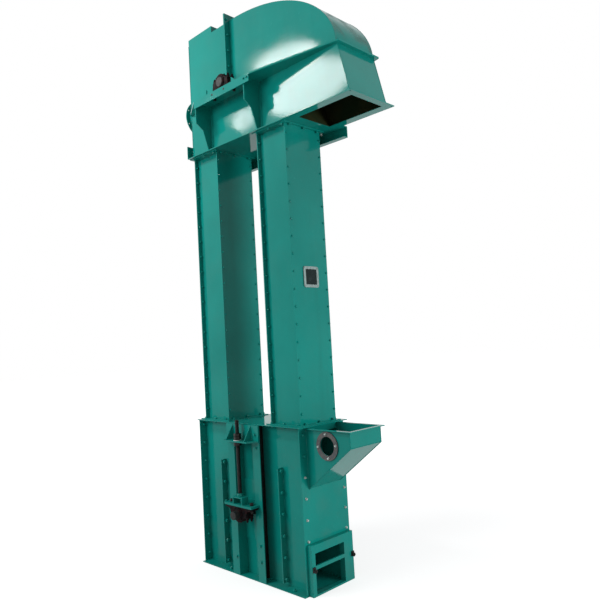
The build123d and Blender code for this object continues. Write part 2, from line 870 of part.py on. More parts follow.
save("split_flange", *split_flange())
save("bearing_shelves", *bearing_shelves())
save("shelf_gussets", *shelf_gussets())
save("head_bearings", *head_bearings())
save("head_shaft", head_shaft())
save("head_pulley", pulley(head_shaft_height, head_shaft_radius))
save("hood_box_plates", *hood_box_plates())
save("hood_box_roof", hood_box_roof())
save("hood_lid", hood_lid())
save("hood_joint_flange", hood_joint_flange())
save("hood_cap_plates", *hood_cap_plates())
save("hood_cap_sheet", hood_cap_sheet())
save("head_vent", head_vent())
save("rear_beam", rear_beam())
save("belt", belt())
save("buckets", *buckets())
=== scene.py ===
import json
import math
import random

import bpy
import bmesh
from mathutils import Matrix, Vector


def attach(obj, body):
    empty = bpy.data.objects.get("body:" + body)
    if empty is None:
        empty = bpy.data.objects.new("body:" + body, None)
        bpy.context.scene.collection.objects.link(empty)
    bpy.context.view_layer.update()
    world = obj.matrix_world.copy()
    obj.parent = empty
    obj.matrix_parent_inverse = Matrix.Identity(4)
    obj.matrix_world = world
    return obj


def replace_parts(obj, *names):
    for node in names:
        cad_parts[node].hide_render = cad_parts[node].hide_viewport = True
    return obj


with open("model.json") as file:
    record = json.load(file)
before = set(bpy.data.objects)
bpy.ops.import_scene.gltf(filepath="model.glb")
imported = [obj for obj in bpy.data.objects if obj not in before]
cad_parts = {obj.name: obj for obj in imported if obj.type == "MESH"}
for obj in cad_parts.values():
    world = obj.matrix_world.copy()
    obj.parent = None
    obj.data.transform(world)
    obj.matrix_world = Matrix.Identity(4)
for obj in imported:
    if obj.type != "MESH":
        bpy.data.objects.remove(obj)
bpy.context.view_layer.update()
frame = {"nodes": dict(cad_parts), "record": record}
nodes = frame["nodes"]

# Camera of the photograph, in metres and degrees
camera_place = Vector((3.5065, -3.1150, 1.6901))
camera_yaw = 44.730
camera_pitch = 3.860
camera_roll = -3.182
camera_lens = 36.38
camera_sensor = 36.0

# Plates that small pieces sit on, in metres
lip_pack = 0.008
flange_plate = 0.006
rib_half = 0.004

# Places that small pieces are set from, in metres
boot_end = 0.565
boot_face = 0.165
boot_lip = 0.193
rib_line = 0.192
rib_places = (-0.320, 0.320)
leg_inner = 0.240
leg_outer = 0.540
leg_lip = 0.165
leg_face = 0.150
leg_bottom = 1.110
leg_top = 3.234
head_face = 0.194
head_bottom = 3.240
head_left = 0.5303
split_low = 3.594
split_top = 3.606
shelf_edge = 0.346
gusset_places = (-0.280, 0.305)
gusset_half = 0.004
hood_top = 4.1903
cap_reach = 1.0694
cap_centre = 3.586
cap_rise = 0.6043
head_lean = 0.2404
head_foot_end = 1.156
head_shaft = 3.676
head_bearing = 0.270
tail_shaft = 0.4733
tail_bearing = 0.290
carrier_low = 0.5273
carrier_top = 0.5433
hanger_top = 0.5953
guide_edge = 0.250
bearing_foot = 0.016
screw_line = 0.300
screw_radius = 0.015
bracket_front = 0.258
bracket_half = 0.105
bracket_low = 0.985
bracket_top = 0.995
screw_top = 1.140
hopper_face = 0.158
hopper_end = 0.955
hopper_foot = 0.690
hopper_knee = 0.988
port_x = 0.757
port_z = 0.992
port_front = 0.166
window_height = 2.140
window_front = 0.548
vent_height = 3.640

# Bead radii of the welds, in metres
broad_bead = 0.004
fine_bead = 0.003


def make_camera():
    yaw = math.radians(camera_yaw)
    pitch = math.radians(camera_pitch)
    roll = math.radians(camera_roll)
    forward = Vector((-math.sin(yaw) * math.cos(pitch), math.cos(yaw) * math.cos(pitch), math.sin(pitch)))
    level = Vector((math.cos(yaw), math.sin(yaw), 0.0))
    upright = level.cross(forward)
    right = math.cos(roll) * level + math.sin(roll) * upright
    up = math.cos(roll) * upright - math.sin(roll) * level
    data = bpy.data.cameras.new("camera")
    data.lens = camera_lens
    data.sensor_width = camera_sensor
    camera = bpy.data.objects.new("camera", data)
    turn = Matrix((right, up, -forward)).transposed()
    camera.matrix_world = Matrix.Translation(camera_place) @ turn.to_4x4()
    bpy.context.collection.objects.link(camera)
    bpy.context.scene.camera = camera


# Shader helpers
class Shader:
    """A material's node tree, with short calls for the nodes that the materials share."""

    def __init__(self, name):
        self.material = bpy.data.materials.new(name)
        self.material.use_nodes = True
        self.tree = self.material.node_tree
        self.surface = self.tree.nodes["Principled BSDF"]
        self.place = self.tree.nodes.new("ShaderNodeTexCoord").outputs["Object"]
        split = self.node("ShaderNodeSeparateXYZ")
        self.link(self.place, split.inputs["Vector"])
        self.x, self.y, self.z = split.outputs

    def node(self, kind, **values):
        made = self.tree.nodes.new(kind)
        for key, value in values.items():
            setattr(made, key, value)
        return made

    def link(self, source, target):
        self.tree.links.new(source, target)

    def noise(self, scale, detail=3.0, stretch=(1.0, 1.0, 1.0)):
        mapping = self.node("ShaderNodeMapping")
        mapping.inputs["Scale"].default_value = stretch
        texture = self.node("ShaderNodeTexNoise")
        texture.inputs["Scale"].default_value = scale
        texture.inputs["Detail"].default_value = detail
        self.link(self.place, mapping.inputs["Vector"])
        self.link(mapping.outputs["Vector"], texture.inputs["Vector"])
        return texture.outputs["Fac"]

    def band(self, value, low, high, to_low=0.0, to_high=1.0):
        ranged = self.node("ShaderNodeMapRange", interpolation_type="SMOOTHSTEP")
        ranged.inputs["From Min"].default_value = low
        ranged.inputs["From Max"].default_value = high
        ranged.inputs["To Min"].default_value = to_low
        ranged.inputs["To Max"].default_value = to_high
        self.link(value, ranged.inputs["Value"])
        return ranged.outputs["Result"]

    def blend(self, share, first, second):
        mix = self.node("ShaderNodeMix", data_type="RGBA")
        sockets = [socket for socket in mix.inputs if socket.type == "RGBA"]
        for socket, colour in zip(sockets, (first, second)):
            if isinstance(colour, tuple):
                socket.default_value = (*colour, 1.0)
            else:
                self.link(colour, socket)
        self.link(share, mix.inputs[0])
        return next(socket for socket in mix.outputs if socket.type == "RGBA")

    def calc(self, operation, *values):
        made = self.node("ShaderNodeMath", operation=operation)
        for socket, value in zip(made.inputs, values):
            if isinstance(value, float):
                socket.default_value = value
            else:
                self.link(value, socket)
        return made.outputs["Value"]

    def bumps(self, *layers):
        # Each layer is a height value with its strength and its depth in metres
        normal = None
        for value, strength, depth in layers:
            bump = self.node("ShaderNodeBump")
            bump.inputs["Strength"].default_value = strength
            bump.inputs["Distance"].default_value = depth
            self.link(value, bump.inputs["Height"])
            if normal:
                self.link(normal, bump.inputs["Normal"])
            normal = bump.outputs["Normal"]
        self.link(normal, self.surface.inputs["Normal"])

    def set(self, **values):
        for key, value in values.items():
            self.surface.inputs[key.replace("_", " ")].default_value = value

    def inside_head(self):
        # 1 on the inner faces of the legs, the head and the hood, a little inside their sheets
        across = self.calc("ABSOLUTE", self.y)
        along = self.calc("ABSOLUTE", self.x)
        leg = self.calc("LESS_THAN", across, leg_face - 0.002)
        leg = self.calc("MULTIPLY", leg, self.calc("GREATER_THAN", along, leg_inner + 0.002))
        leg = self.calc("MULTIPLY", leg, self.calc("LESS_THAN", along, leg_outer - 0.002))
        leg = self.calc("MULTIPLY", leg, self.calc("GREATER_THAN", self.z, leg_bottom + 0.01))
        leg = self.calc("MULTIPLY", leg, self.calc("LESS_THAN", self.z, head_bottom - 0.003))
        lean = self.calc("MULTIPLY", self.calc("SUBTRACT", self.z, head_bottom), head_lean)
        head = self.calc("LESS_THAN", self.calc("ADD", self.x, lean), head_foot_end)
        head = self.calc("MULTIPLY", head, self.calc("LESS_THAN", self.z, split_top))
        wide = self.calc("DIVIDE", self.calc("MAXIMUM", self.x, 0.0), cap_reach - 0.002)
        high = self.calc("DIVIDE", self.calc("SUBTRACT", self.z, cap_centre), cap_rise - 0.002)
        hood = self.calc("ADD", self.calc("MULTIPLY", wide, wide), self.calc("MULTIPLY", high, high))
        hood = self.calc("LESS_THAN", hood, 1.0)
        hood = self.calc("MULTIPLY", hood, self.calc("GREATER_THAN", self.z, split_top))
        top = self.calc("LESS_THAN", across, head_face - 0.002)
        top = self.calc("MULTIPLY", self.calc("MAXIMUM", head, hood), top)
        top = self.calc("MULTIPLY", top, self.calc("GREATER_THAN", self.z, head_bottom - 0.003))
        top = self.calc("MULTIPLY", top, self.calc("GREATER_THAN", self.x, -head_left + 0.0023))
        return self.calc("MAXIMUM", leg, top)


def green_paint(name, dust_share, dust_colour, shine):
    """Glossy green with streaks, scuffs and dust, and a dull, darker inside."""
    s = Shader(name)
    base = s.blend(s.band(s.noise(1.6, 4.0), 0.3, 0.7), (0.004, 0.262, 0.222), (0.006, 0.318, 0.270))
    streak = s.band(s.noise(9.0, 5.0, (1.0, 1.0, 0.12)), 0.55, 0.8, 0.0, 0.30)
    base = s.blend(streak, base, (0.008, 0.20, 0.165))
    low = s.band(s.z, 0.0, 1.2, 1.0, 0.25)
    dust = s.calc("MULTIPLY", low, s.band(s.noise(5.0, 7.0), 0.42, 0.72, 0.0, 0.30))
    dust = s.calc("ADD", dust, s.band(s.noise(8.0, 6.0), 0.40, 0.66, 0.0, dust_share))
    base = s.blend(dust, base, dust_colour)
    scuff = s.band(s.noise(60.0, 6.0), 0.66, 0.72, 0.0, 0.4)
    base = s.blend(scuff, base, (0.02, 0.36, 0.31))
    inner = s.inside_head()
    # The inner faces of the legs, the head and the hood take a near-black olive and lose their shine.
    dark_inside = s.blend(s.band(s.noise(7.0, 5.0), 0.35, 0.7), (0.026, 0.044, 0.020), (0.050, 0.052, 0.020))
    base = s.blend(inner, base, dark_inside)
    s.link(base, s.surface.inputs["Base Color"])
    rough = s.band(s.noise(4.0, 5.0), 0.3, 0.7, 0.05, 0.09)
    rough = s.calc("ADD", rough, s.calc("MULTIPLY", dust, 0.5))
    rough = s.calc("ADD", rough, s.calc("MULTIPLY", inner, 0.5))
    s.link(rough, s.surface.inputs["Roughness"])
    level = s.calc("MULTIPLY", s.band(s.z, 0.5, 3.2, 0.5 * shine, shine), s.calc("SUBTRACT", 1.0, inner))
    s.link(level, s.surface.inputs["Specular IOR Level"])
    s.bumps((s.noise(2.2, 1.0), 0.4, 0.0035), (s.noise(260.0, 2.0), 0.08, 0.0006))
    return s.material


def plain_metal(name, colour, worn, rough, metal=0.0, shine=0.5):
    """Fine-grained surface between a colour and its worn colour."""
    s = Shader(name)
    base = s.blend(s.band(s.noise(40.0, 5.0), 0.4, 0.7), colour, worn)
    s.link(base, s.surface.inputs["Base Color"])
    s.link(s.band(s.noise(25.0, 5.0), 0.3, 0.7, rough - 0.08, rough + 0.1), s.surface.inputs["Roughness"])
    s.set(Metallic=metal, Specular_IOR_Level=shine)
    s.bumps((s.noise(300.0, 4.0), 0.3, 0.0006))
    return s.material


def dark_glass():
    s = Shader("dark_glass")
    s.link(s.blend(s.band(s.noise(18.0, 4.0), 0.4, 0.8), (0.010, 0.022, 0.022), (0.03, 0.05, 0.05)),
           s.surface.inputs["Base Color"])
    s.link(s.band(s.noise(30.0, 4.0), 0.4, 0.8, 0.05, 0.2), s.surface.inputs["Roughness"])
    s.set(Alpha=0.95, Specular_IOR_Level=0.12)
    s.bumps((s.noise(6.0, 1.0), 0.1, 0.001))
    return s.material


materials = {
    "green_paint": green_paint("green_paint", 0.0, (0.09, 0.20, 0.165), 0.17),
    "dusty_paint": green_paint("dusty_paint", 0.65, (0.070, 0.130, 0.110), 0.08),
    "dark_steel": plain_metal("dark_steel", (0.004, 0.005, 0.005), (0.014, 0.012, 0.010), 0.42, 0.0, 0.2),
    "bearing_black": plain_metal("bearing_black", (0.004, 0.004, 0.005), (0.022, 0.007, 0.008), 0.55, 0.0,
                                 0.06),
    "port_grey": plain_metal("port_grey", (0.055, 0.06, 0.065), (0.11, 0.10, 0.09), 0.55),
    "bare_aluminium": plain_metal("bare_aluminium", (0.25, 0.33, 0.32), (0.18, 0.23, 0.22), 0.38, 0.4),
    "dark_glass": dark_glass(),
    "belt_rubber": plain_metal("belt_rubber", (0.006, 0.008, 0.008), (0.016, 0.016, 0.015), 0.7, 0.0, 0.2),
    "bucket_plastic": plain_metal("bucket_plastic", (0.55, 0.56, 0.52), (0.42, 0.40, 0.34), 0.45),
    "steel": plain_metal("steel", (0.015, 0.018, 0.018), (0.034, 0.030, 0.028), 0.4, 0.0, 0.15),
    "pulley_iron": plain_metal("pulley_iron", (0.10, 0.10, 0.10), (0.16, 0.12, 0.09), 0.6, 0.3),
    "zinc": plain_metal("zinc", (0.46, 0.52, 0.50), (0.32, 0.36, 0.33), 0.35, 0.5),
}


def dress_nodes():
    """Gives each CAD node the material of its slot. Dust lies on the hood's curved sheet."""
    for part in frame["record"]["subparts"]:
        piece = nodes[part["node"]]
        finish = "dusty_paint" if part["node"] == "hood_cap_sheet" else part["material_slot"]
        piece.data.materials.clear()
        piece.data.materials.append(materials[finish])


# Small pieces
def mesh_object(name, shape, finish, body="casing", smooth_below=40.0):
    mesh = bpy.data.meshes.new(name)
    bmesh.ops.recalc_face_normals(shape, faces=shape.faces)
    shape.to_mesh(mesh)
    shape.free()
    mesh.shade_smooth()
    mesh.set_sharp_from_angle(angle=math.radians(smooth_below))
    made = bpy.data.objects.new(name, mesh)
    made.data.materials.append(materials[finish])
    bpy.context.collection.objects.link(made)
    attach(made, body)
    return made


def axis_frame(place, axis, spin=0.0):
    along = Vector(axis).normalized()
    side = Vector((0, 0, 1)) if abs(along.z) < 0.9 else Vector((1, 0, 0))
    first = side.cross(along).normalized()
    second = along.cross(first)
    turn = Matrix((first, second, along)).transposed().to_4x4()
    return Matrix.Translation(Vector(place)) @ turn @ Matrix.Rotation(spin, 4, "Z")


def add_rings(shape, where, rings, sides):
    """Adds a closed turned solid: rings are (height, radius) pairs from base to top."""
    loops = []
    for height, radius in rings:
        loop = []
        for index in range(sides):
            angle = 2 * math.pi * index / sides
            point = Vector((radius * math.cos(angle), radius * math.sin(angle), height))
            loop.append(shape.verts.new(where @ point))
        loops.append(loop)
    for lower, upper in zip(loops, loops[1:]):
        for index in range(sides):
            other = (index + 1) % sides
            shape.faces.new((lower[index], lower[other], upper[other], upper[index]))
    shape.faces.new(list(reversed(loops[0])))
    shape.faces.new(loops[-1])


def add_tube(shape, where, inner, outer, low, high, sides=40):
    """Adds a ring with a hole and small chamfers, round the Z axis of the given frame."""
    chamfer = min(0.0012, (outer - inner) / 4)
    section = [(low, inner), (low, outer - chamfer), (low + chamfer, outer), (high - chamfer, outer),
               (high, outer - chamfer), (high, inner)]
    loops = []
    for height, radius in section:
        loop = []
        for index in range(sides):
            angle = 2 * math.pi * index / sides
            point = Vector((radius * math.cos(angle), radius * math.sin(angle), height))
            loop.append(shape.verts.new(where @ point))
        loops.append(loop)
    for first, second in zip(loops, loops[1:] + loops[:1]):
        for index in range(sides):
            other = (index + 1) % sides
            shape.faces.new((first[index], first[other], second[other], second[index]))


def add_hexagon(shape, where, flats, low, high):
    corner = flats / math.sqrt(3)
    rings = [(low, corner * 0.97), (low + (high - low) * 0.08, corner), (high - (high - low) * 0.15, corner),
             (high, corner * 0.86)]
    add_rings(shape, where, rings, 6)


def add_bolt(shape, place, axis, flats, spin, nut):
    """Hexagon head on a washer, or a nut with the end of its bolt."""
    where = axis_frame(place, axis, spin)
    washer = 0.12 * flats
    high = washer + 0.62 * flats
    add_rings(shape, where, [(0, flats * 0.64), (washer * 0.8, flats * 0.64), (washer, flats * 0.6)], 18)
    add_hexagon(shape, where, flats, washer, high)
    if nut:
        end = flats * 0.3
        add_rings(shape, where, [(high, end), (high + end * 0.9, end), (high + end * 1.1, end * 0.8)], 12)


def bolts(name, places, flats, finish="green_paint", body="casing"):
    """One joined mesh. Places are (point, axis, is a nut)."""
    shape = bmesh.new()
    draw = random.Random(name)
    for place, axis, nut in places:
        add_bolt(shape, place, axis, flats, draw.uniform(0, math.pi / 3), nut)
    return mesh_object(name, shape, finish, body)


def add_prism(shape, outline, y_low, y_high, bevel=0.0):
    """Adds an outline in X and Z, drawn out along Y, with its end edges rounded."""
    near = [shape.verts.new((x, y_low, z)) for x, z in outline]
    far = [shape.verts.new((x, y_high, z)) for x, z in outline]
    ends = [shape.faces.new(near), shape.faces.new(list(reversed(far)))]
    for index in range(len(outline)):
        other = (index + 1) % len(outline)
        shape.faces.new((near[other], near[index], far[index], far[other]))
    if bevel:
        edges = [edge for face in ends for edge in face.edges]
        bmesh.ops.bevel(shape, geom=edges, offset=bevel, segments=2, affect="EDGES", profile=0.6)


def add_block(shape, low, high):
    x0, y0, z0 = low
    x1, y1, z1 = high
    add_prism(shape, [(x0, z0), (x1, z0), (x1, z1), (x0, z1)], y0, y1)


def add_bead(shape, points, radius=broad_bead):
    """Weld bead: a rippled tube along straight runs between the points."""
    sides = 8
    loops = []
    travelled = 0.0
    for start, end in zip(points, points[1:]):
        start = Vector(start)
        run = Vector(end) - start
        steps = max(2, round(run.length / 0.004))
        where = axis_frame((0, 0, 0), run)
        for step in range(steps + 1):
            along = run.length * step / steps
            ripple = radius * (1 + 0.16 * math.sin((travelled + along) / 0.0026))
            centre = start + run * (step / steps)
            loop = []
            for index in range(sides):
                angle = 2 * math.pi * index / sides
                offset = where @ Vector((ripple * math.cos(angle), ripple * math.sin(angle), 0))
                loop.append(shape.verts.new(centre + offset))
            loops.append(loop)
        travelled += run.length
    for lower, upper in zip(loops, loops[1:]):
        for index in range(sides):
            other = (index + 1) % sides
            shape.faces.new((lower[index], lower[other], upper[other], upper[index]))
    shape.faces.new(list(reversed(loops[0])))
    shape.faces.new(loops[-1])


def spaced(low, high, step):
    """Even places from low to high, about a step apart."""
    count = max(1, round((high - low) / step))
    return [low + (high - low) * index / count for index in range(count + 1)]


both = (-1, 1)


# Bolted joints of the casing
def boot_bolts():
    ribs = []
    for side in both:
        for x in rib_places:
            for z in spaced(0.052, 0.790, 0.148):
                ribs.append(((x + rib_half, side * rib_line, z), (1, 0, 0), False))
                ribs.append(((x - rib_half, side * rib_line, z), (-1, 0, 0), True))
    bolts("boot_rib_bolts", ribs, 0.022)
    lip_step = 0.143
    shaded_above = 0.85
    lips = []
    bright = []
    for side in both:
        y = side * boot_lip
        for z in spaced(0.063, 1.065, lip_step):
            lips.append(((-boot_end, y, z), (-1, 0, 0), False))
            lips.append(((-boot_end + lip_pack, y, z), (1, 0, 0), True))
            lips.append(((boot_end - lip_pack, y, z), (-1, 0, 0), True))
        # The lower bolts on the right end are zinc. The upper ones take the green paint as painted shade for
        # the hopper's shadow on them.
        for z in spaced(0.350, 1.055, lip_step):
            row = bright if z < shaded_above else lips
            row.append(((boot_end, y, z), (1, 0, 0), False))
    bolts("boot_lip_bolts", lips, 0.017)
    bolts("boot_right_lip_bolts", bright, 0.014, "zinc")
    anchor_line = 0.220
    anchors = []
    for side in both:
        for x in (-0.246, 0.084, 0.434):
            anchors.append(((x, side * anchor_line, flange_plate), (0, 0, 1), True))
    bolts("anchor_bolts", anchors, 0.018)


def leg_bolts():
    flange_line = 0.1925
    flange_end = 0.0125
    lips = []
    rings = []
    for leg in both:
        for side in both:
            for z in spaced(1.190, 3.160, 0.123):
                for x, axis, nut in ((leg_outer, 1, False), (leg_outer - lip_pack, -1, True),
                                     (leg_inner, -1, False), (leg_inner + lip_pack, 1, True)):
                    lips.append(((leg * x, side * leg_lip, z), (leg * axis, 0, 0), nut))
            y = side * flange_line
            for x in spaced(0.262, 0.518, 0.128):
                rings.append(((leg * x, y, leg_bottom + flange_plate), (0, 0, 1), False))
                rings.append(((leg * x, y, leg_bottom - flange_plate), (0, 0, -1), True))
                rings.append(((leg * x, y, leg_top - flange_plate), (0, 0, -1), False))
        for x in (leg_inner - flange_end, leg_outer + flange_end):
            for y in (-0.14, 0.0, 0.14):
                rings.append(((leg * x, y, leg_bottom + flange_plate), (0, 0, 1), False))
                rings.append(((leg * x, y, leg_top - flange_plate), (0, 0, -1), False))
    bolts("leg_lip_bolts", lips, 0.013)
    bolts("leg_flange_bolts", rings, 0.017)


def hood_bolts():
    joint_line = 0.218
    joint_top = 4.214
    places = []
    for axis in both:
        x = axis * flange_plate
        for side in both:
            for z in spaced(3.820, 4.195, 0.125):
                places.append(((x, side * joint_line, z), (axis, 0, 0), axis < 0))
        for y in spaced(-0.15, 0.15, 0.1):
            places.append(((x, y, joint_top), (axis, 0, 0), axis < 0))
    bolts("hood_joint_bolts", places, 0.016)
    ear = []
    for side in both:
        for x in (0.318, 0.350):
            ear.append(((x, side * shelf_edge, 3.580), (0, side, 0), False))
    bolts("shelf_end_bolts", ear, 0.013)
    screw = 0.0085
    # Black discs sit flush in the bolt holes of the shelf's lip. Their colour is painted shade for the dark
    # holes.
    drilled = bmesh.new()
    for side in both:
        for x in (-0.052, 0.087):
            where = axis_frame((x, side * shelf_edge, 3.583), (0, side, 0))
            add_rings(drilled, where, [(-0.004, screw), (0.0006, screw), (0.0012, screw - 0.001)], 20)
    mesh_object("shelf_lip_hole_shades", drilled, "dark_steel")
    beam_line = 0.216
    beam = [((x, beam_line, leg_top), (0, 0, -1), True) for x in (-0.525, 0.525)]
    bolts("rear_beam_bolts", beam, 0.019, "zinc")


def port_and_window_screws():
    port_circle = 0.0785
    ring = []
    for turn in range(4):
        angle = math.radians(90 * turn + 6)
        x = port_x + port_circle * math.cos(angle)
        z = port_z + port_circle * math.sin(angle)
        ring.append(((x, -port_front, z), (0, -1, 0), False))
    bolts("port_bolts", ring, 0.012, "zinc")
    reach = 0.064
    head = [(0, 0.0048), (0.0014, 0.0046), (0.0026, 0.0034), (0.003, 0.0016)]
    shape = bmesh.new()
    for y in (-reach, 0.0, reach):
        for rise in (-reach, 0.0, reach):
            if y or rise:
                where = axis_frame((window_front, y, window_height + rise), (1, 0, 0))
                add_rings(shape, where, head, 16)
    mesh_object("window_screws", shape, "bare_aluminium")


# Take-up
def add_thread(shape, where, low, high, radius, depth, pitch):
    sides = 24
    levels = max(2, round((high - low) / (pitch / 5)))
    loops = []
    for level in range(levels + 1):
        height = low + (high - low) * level / levels
        loop = []
        for index in range(sides):
            angle = 2 * math.pi * index / sides
            phase = (height / pitch - index / sides) % 1.0
            cut = depth * min(1.0, max(0.0, 2.2 * abs(2 * phase - 1) - 0.6))
            loop.append(shape.verts.new(where @ Vector(((radius - cut) * math.cos(angle),
                                                        (radius - cut) * math.sin(angle), height))))
        loops.append(loop)
    for lower, upper in zip(loops, loops[1:]):
        for index in range(sides):
            other = (index + 1) % sides
            shape.faces.new((lower[index], lower[other], upper[other], upper[index]))
    shape.faces.new(list(reversed(loops[0])))
    shape.faces.new(loops[-1])


def screw_nuts():
    hole = screw_radius + 0.0006
    washer_top = bracket_top + 0.005
    nuts = bmesh.new()
    washers = bmesh.new()
    collars = bmesh.new()
    for side in both:
        where = axis_frame((0, side * screw_line, 0), (0, 0, 1), 0.3)
        add_tube(washers, where, hole, 0.031, bracket_top, washer_top)
        add_tube(nuts, where, hole, 0.027, washer_top, washer_top + 0.025, 6)
        add_tube(nuts, where, hole, 0.027, washer_top + 0.027, washer_top + 0.045, 6)
        add_tube(nuts, where, hole, 0.028, bracket_low - 0.026, bracket_low)
        foot = [(hanger_top, 0.026), (hanger_top + 0.004, 0.026), (hanger_top + 0.005, 0.025)]
        add_rings(collars, where, foot, 36)
        add_tube(collars, where, screw_radius, 0.023, hanger_top + 0.005, hanger_top + 0.022, 6)
    mesh_object("take_up_nuts", nuts, "dark_steel")
    mesh_object("take_up_washers", washers, "zinc")
    mesh_object("screw_foot_collars", collars, "green_paint", "take_up")


def take_up_bolts():
    plate = []
    carrier = []
    for side in both:
        for x in (-0.145, 0.145):
            plate.append(((x, side * bracket_front, 1.040), (0, side, 0), False))
        for x in (-0.112, 0.112):
            carrier.append(((x, side * tail_bearing, carrier_top), (0, 0, 1), False))
            carrier.append(((x, side * tail_bearing, carrier_low - 0.017), (0, 0, -1), True))
    bolts("bracket_bolts", plate, 0.017)
    bolts("tail_bearing_bolts", carrier, 0.024, "dark_steel", "take_up")


def guide_details():
    """Black angles in the corner between a guide and the boot's plate, painted shade for the deep gap behind
    the guide's flange, and the guides' bolts.
    """
    start = 0.111
    thickness = 0.003
    foot = 0.012
    low = 0.007
    high = 1.100
    # The black rubber of these strips is painted shade: it darkens the gap between the guide's flange and the
    # boot's plate.
    shape = bmesh.new()
    for side in both:
        near, far = sorted((side * 0.244, side * boot_face))
        add_block(shape, (start, near, low), (start + thickness, far, high))
        near, far = sorted((side * (boot_face + thickness), side * boot_face))
        add_block(shape, (start + thickness, near, low), (start + thickness + foot, far, high))
    mesh_object("guide_shade_strips", shape, "belt_rubber")
    places = []
    for side in both:
        for x, z in ((-0.128, 0.133), (0.143, 0.147), (0.143, 0.258), (0.143, 0.944)):
            places.append(((x, side * guide_edge, z), (0, side, 0), False))
    bolts("guide_bolts", places, 0.016)


def take_up_details():
    shape = bmesh.new()
    for side in both:
        where = axis_frame((0, side * screw_line, 0), (0, 0, 1))
        add_thread(shape, where, hanger_top, screw_top, screw_radius, 0.0022, 0.006)
    screws = mesh_object("take_up_screw_threads", shape, "dark_steel", "take_up", 30.0)
    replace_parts(screws, "take_up_screws")
    screw_nuts()
    take_up_bolts()
    guide_details()


# Bearings
def housing_outline(rise, length, reach):
    """Left to right outline of a plummer block on its feet, shaft at the origin."""
    half = length / 2
    base = 0.100
    body = 0.088
    cap = 0.076
    joint = 0.016
    foot = -rise + bearing_foot
    right = [(half, foot - 0.003), (half - 0.004, foot), (base, foot + 0.003), (base - 0.010, foot + 0.010),
             (body, -0.010), (body, joint - 0.004), (cap, joint)]
    outline = [(-half, -rise), (half, -rise)] + right
    start = math.asin(joint / reach) + 0.10
    for step in range(13):
        angle = start + (math.pi - 2 * start) * step / 12
        outline.append((reach * math.cos(angle), reach * math.sin(angle)))
    return outline + [(-x, z) for x, z in reversed(right)]


def plummer_block(rise, length, width, reach, shaft, hollow):
    """Split housing with cap bolts, seals and a grease nipple. Built at the origin, feet down."""
    shape = bmesh.new()
    half = width / 2
    add_prism(shape, housing_outline(rise, length, reach), -half, half, 0.003)
    for side in both:
        where = axis_frame((0, 0, 0), (0, side, 0))
        add_tube(shape, where, shaft + 0.0005, hollow, half - 0.001, half + 0.006)
        add_tube(shape, where, shaft + 0.0005, hollow - 0.007, half + 0.005, half + 0.009)
        for turn in range(4):
            angle = math.radians(45 + 90 * turn)
            place = (hollow * 1.12 * math.cos(angle), side * (half - 0.0005), hollow * 1.12 * math.sin(angle))
            add_bolt(shape, place, (0, side, 0), 0.008, 0.2 * turn, False)
    for x in (-0.080, 0.080):
        for y in (-half * 0.55, half * 0.55):
            upright = axis_frame((x, y, 0.012), (0, 0, 1))
            add_rings(shape, upright, [(0, 0.013), (0.020, 0.012), (0.022, 0.010)], 18)
            add_bolt(shape, (x, y, 0.033), (0, 0, 1), 0.016, 0.4 + x, True)
    nipple = [(0, 0.006), (0.006, 0.006), (0.007, 0.0035), (0.012, 0.0035), (0.014, 0.002)]
    add_rings(shape, axis_frame((0.012, 0, reach - 0.002), (0, 0, 1)), nipple, 12)
    return shape


def bearing_pair(name, node, body, block, height, offset, turned):
    """The same housing at the front and the rear, in place of a CAD node."""
    joined = bmesh.new()
    for side in both:
        housing = plummer_block(*block)
        turn = Matrix.Rotation(math.pi if turned else 0.0, 4, "Y")
        housing.transform(Matrix.Translation((0, side * offset, height)) @ turn)
        mesh = bpy.data.meshes.new("part")
        housing.to_mesh(mesh)
        housing.free()
        joined.from_mesh(mesh)
        bpy.data.meshes.remove(mesh)
    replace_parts(mesh_object(name, joined, "bearing_black", body, 35.0), node)


def bearings():
    # Each block is its rise, length, width, reach, shaft radius and seal radius
    head_block = (0.070, 0.290, 0.072, 0.062, 0.035, 0.050)
    tail_block = (0.054, 0.290, 0.070, 0.058, 0.030, 0.045)
    bearing_pair("head_bearing_housings", "head_bearings", "casing", head_block, head_shaft,
                 head_bearing, False)
    bearing_pair("tail_bearing_housings", "tail_bearings", "take_up", tail_block, tail_shaft,
                 tail_bearing, True)
    feet = []
    for side in both:
        for x in (-0.118, 0.118):
            feet.append(((x, side * head_bearing, split_top + bearing_foot), (0, 0, 1), True))
            feet.append(((x, side * head_bearing, split_low), (0, 0, -1), False))
    bolts("head_bearing_bolts", feet, 0.024, "dark_steel")
    inner = 0.150
    outer = 0.215
    stop_rise = 0.052
    stops = bmesh.new()
    for side in both:
        low, high = sorted((side * 0.322, side * 0.314))
        for way in both:
            corner = [(way * inner, split_top), (way * outer, split_top),
                      (way * inner, split_top + stop_rise)]
            add_prism(stops, corner[::way], low, high)
    mesh_object("bearing_stops", stops, "green_paint")


# Welds
def gusset_welds(shape):
    for side in both:
        y = side * head_face
        for x in gusset_places:
            for edge in both:
                at = x + edge * gusset_half
                add_bead(shape, [(at, y, head_bottom), (at, y, split_low)])
                add_bead(shape, [(at, y, split_low), (at, side * (shelf_edge - 0.010), split_low)])


def take_up_welds(fixed, moving):
    bracket_end = 1.098
    bracket_nose = 0.326
    plate_half = 0.003
    slide = 0.1713
    slide_half = 0.098
    hanger_half = 0.052
    for side in both:
        front = side * bracket_front
        for gusset in (-bracket_half + plate_half, bracket_half - plate_half):
            for x in (gusset - plate_half, gusset + plate_half):
                add_bead(fixed, [(x, front, bracket_top), (x, front, bracket_end)], fine_bead)
                add_bead(fixed, [(x, front, bracket_top), (x, side * bracket_nose, bracket_top)], fine_bead)
        for z in (carrier_low, carrier_top):
            add_bead(moving, [(-slide_half, side * slide, z), (slide_half, side * slide, z)])
        for x in (-hanger_half, hanger_half):
            add_bead(moving, [(x, side * 0.272, carrier_top), (x, side * 0.328, carrier_top)], fine_bead)


